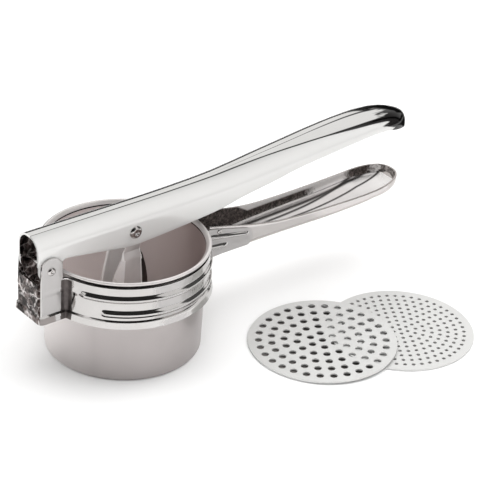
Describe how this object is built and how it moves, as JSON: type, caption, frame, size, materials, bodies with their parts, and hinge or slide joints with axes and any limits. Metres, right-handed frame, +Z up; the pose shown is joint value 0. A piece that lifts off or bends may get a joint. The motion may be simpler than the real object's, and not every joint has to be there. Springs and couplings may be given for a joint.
{
  "type": "potato ricer",
  "caption": "Hand press with a cup in a ribbed strap, a long upper lever driving a hinged plunger, a fixed lower handle, and loose perforated discs beside it.",
  "frame": {"origin": "middle of the footprint of the whole set, on the surface it stands on", "axes": "+X from the pivot along the handles to their tips, +Z up, +Y away from the loose discs"},
  "size_m": [0.2562, 0.1672, 0.0932],
  "materials": {
    "chrome": "polished",
    "bright_steel": "bright pressed",
    "satin_steel": "satin",
    "rivet_steel": "polished",
    "sieve_steel": "satin"
  },
  "bodies": {
    "frame": {"press_cup": "satin_steel", "holder_strap": "chrome", "lower_handle": "bright_steel", "pivot_rivet": "rivet_steel", "handle_rivet_near": "rivet_steel", "handle_rivet_far": "rivet_steel"},
    "lever": {"upper_lever": "chrome", "plunger_pin": "rivet_steel"},
    "plunger": {"plunger_yoke": "bright_steel", "press_plate": "bright_steel", "plate_rivet_left": "rivet_steel", "plate_rivet_right": "rivet_steel"},
    "fine_disc": {"fine_sieve_disc": "sieve_steel"},
    "coarse_disc": {"coarse_sieve_disc": "sieve_steel"}
  },
  "joints": [
    {"name": "lever_swing", "type": "hinge", "parent": "frame", "child": "lever", "pos_m": [-0.11844, 0.03594, 0.0642], "axis": [0, -1, 0], "range_deg": [-2.2, 60]},
    {"name": "plunger_swing", "type": "hinge", "parent": "lever", "child": "plunger", "pos_m": [-0.06514, 0.03594, 0.0704], "axis": [0, -1, 0], "range_deg": [-36.2, 1.6]},
    {"name": "fine_disc_lift", "type": "slide", "parent": "frame", "child": "fine_disc", "axis": [0, 0, 1], "range_m": [0, 0.03]},
    {"name": "coarse_disc_lift", "type": "slide", "parent": "fine_disc", "child": "coarse_disc", "axis": [0, 0, 1], "range_m": [0, 0.03]}
  ],
  "couplings": [
    {"joint": "plunger_swing", "follows": "lever_swing", "ratio": -0.6}
  ]
}
